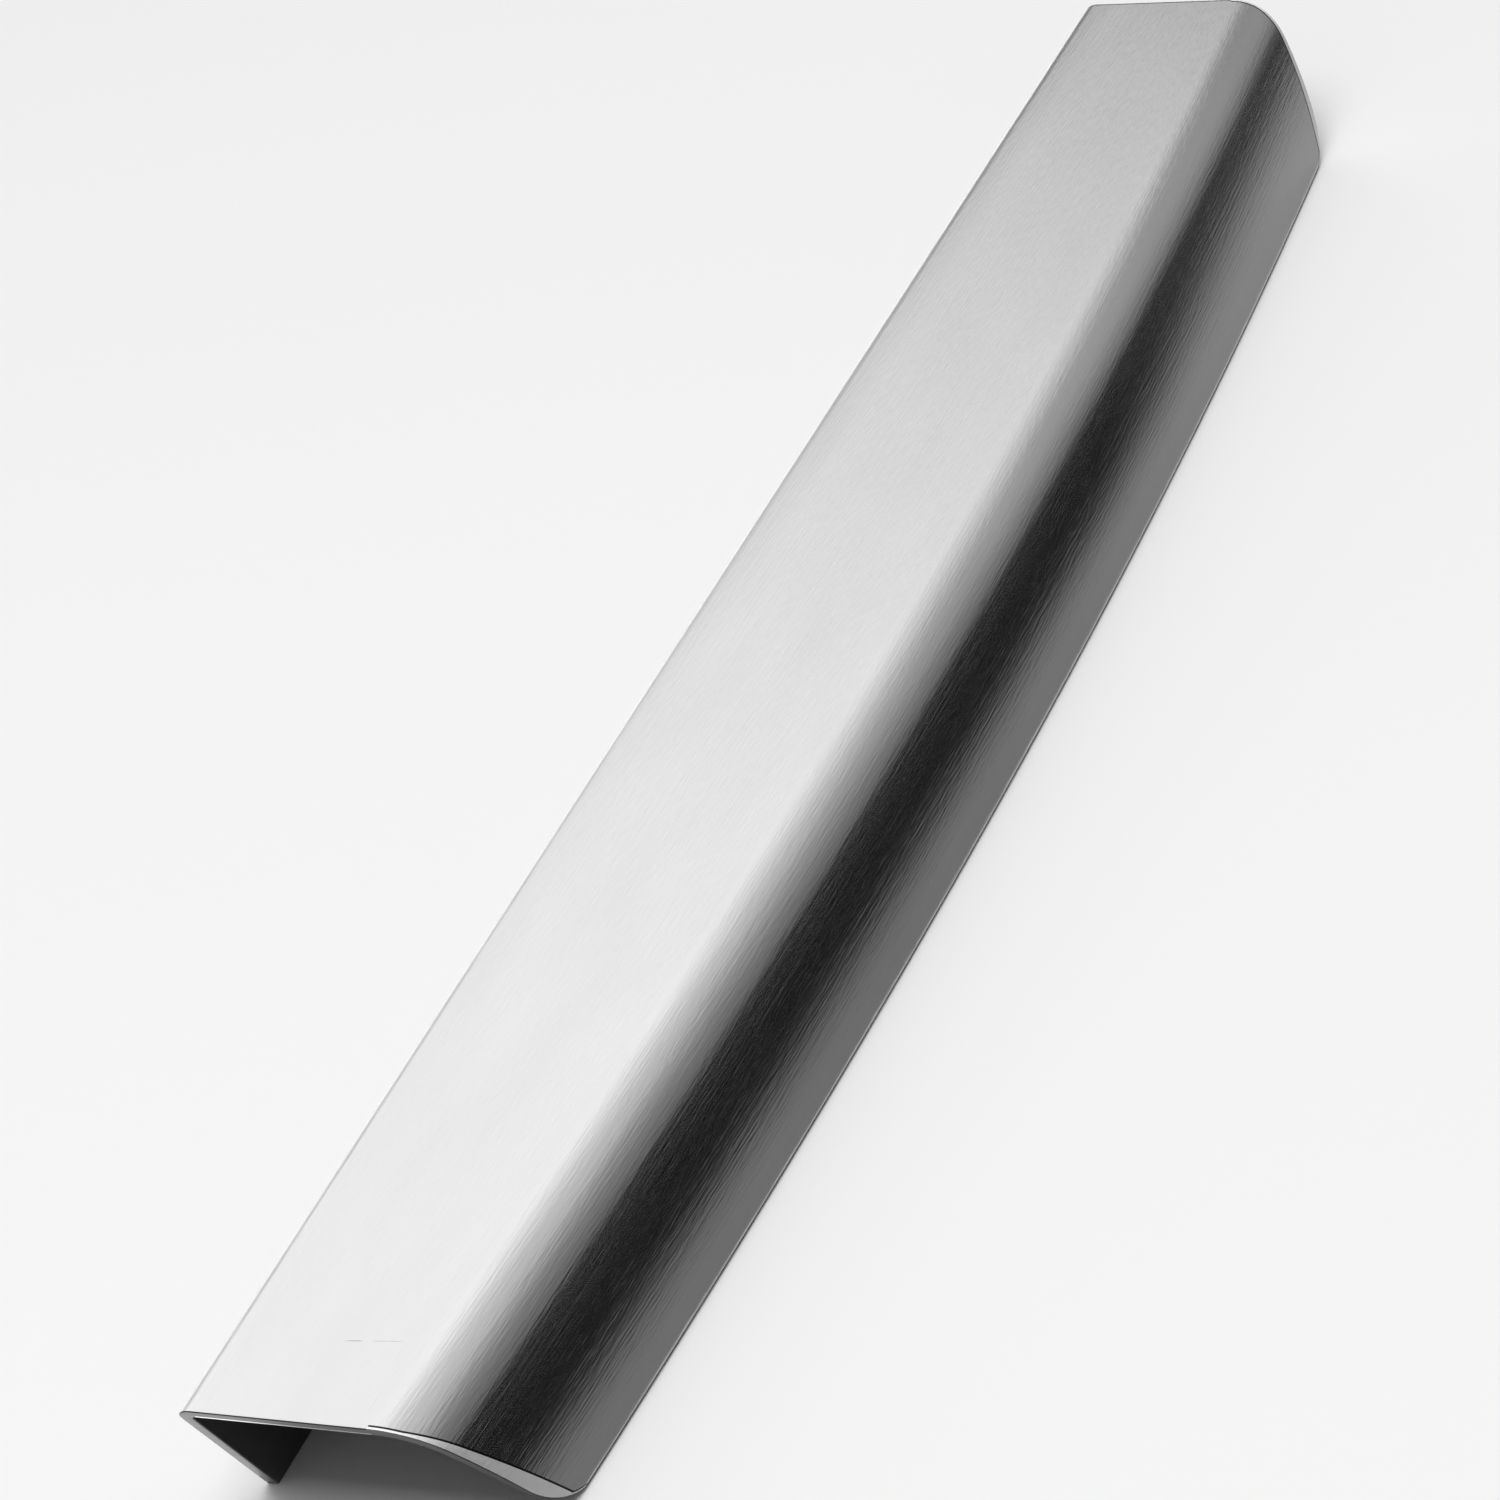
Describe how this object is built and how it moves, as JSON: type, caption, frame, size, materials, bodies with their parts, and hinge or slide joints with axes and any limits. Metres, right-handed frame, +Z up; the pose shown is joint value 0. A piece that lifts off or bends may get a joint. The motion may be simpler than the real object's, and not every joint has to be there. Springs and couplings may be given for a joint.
{
  "type": "handleless finger pull profile",
  "caption": "Bent sheet finger pull for a door or drawer edge, with a rear screw flange, a flat plate and a bowed, sloping front lip in brushed steel",
  "frame": {"origin": "under the middle of the pull, on the surface that it stands on", "axes": "X from the rear flange to the front lip, Y along the length, Z up from the lip's foot to the flat plate"},
  "size_m": [0.0444, 0.32, 0.0215],
  "materials": {
    "brushed_steel": "brushed along the length"
  },
  "bodies": {
    "root": {"finger_pull_profile": "brushed_steel"}
  },
  "joints": []
}
